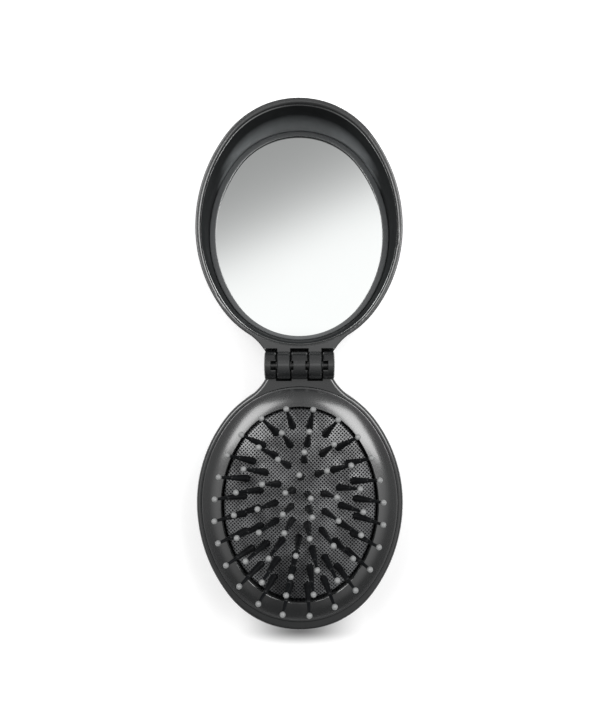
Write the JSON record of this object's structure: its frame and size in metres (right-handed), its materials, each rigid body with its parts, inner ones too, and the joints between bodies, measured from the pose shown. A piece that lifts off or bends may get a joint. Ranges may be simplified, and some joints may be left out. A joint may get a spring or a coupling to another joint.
{
  "type": "folding hairbrush with mirror",
  "caption": "Egg-shaped pocket hairbrush: cushioned ball-tip bristles in one half, a recessed mirror in the other, joined by a snap-in five-knuckle hinge that folds shut",
  "frame": {"origin": "centre of the brush half's flat back, on the line where that half is widest", "axes": "X across the case, +Y from the brush half over the hinge to the lid, +Z out of the bristles; the case lies open on its two backs"},
  "size_m": [0.068, 0.175, 0.0389],
  "materials": {
    "base_shell": "satin anthracite",
    "cushion_ring": "satin anthracite",
    "cushion": "black rubber faced with fine mesh",
    "cushion_plate": "hidden inside the case",
    "bristles_ring_1": "black nylon",
    "bristles_ring_2": "black nylon",
    "bristles_ring_3": "black nylon",
    "bristles_ring_4": "black nylon",
    "ball_tips_ring_1": "light grey",
    "ball_tips_ring_2": "light grey",
    "ball_tips_ring_3": "light grey",
    "ball_tips_ring_4": "light grey",
    "lid_shell": "satin anthracite",
    "mirror_bezel": "satin anthracite",
    "mirror_glass": "silvered glass",
    "mirror_foam": "adhesive foam, hidden"
  },
  "bodies": {
    "brush_half": {"base_shell": "base_shell", "cushion_ring": "cushion_ring", "cushion": "cushion", "cushion_plate": "cushion_plate", "bristles_ring_1": "bristles_ring_1", "bristles_ring_2": "bristles_ring_2", "bristles_ring_3": "bristles_ring_3", "bristles_ring_4": "bristles_ring_4", "ball_tips_ring_1": "ball_tips_ring_1", "ball_tips_ring_2": "ball_tips_ring_2", "ball_tips_ring_3": "ball_tips_ring_3", "ball_tips_ring_4": "ball_tips_ring_4"},
    "lid": {"lid_shell": "lid_shell", "mirror_bezel": "mirror_bezel", "mirror_glass": "mirror_glass", "mirror_foam": "mirror_foam"}
  },
  "joints": [
    {"name": "lid_hinge", "type": "hinge", "parent": "brush_half", "child": "lid", "pos_m": [0, 0.0453, 0.02165], "axis": [1, 0, 0], "range_deg": [0, 180]}
  ]
}
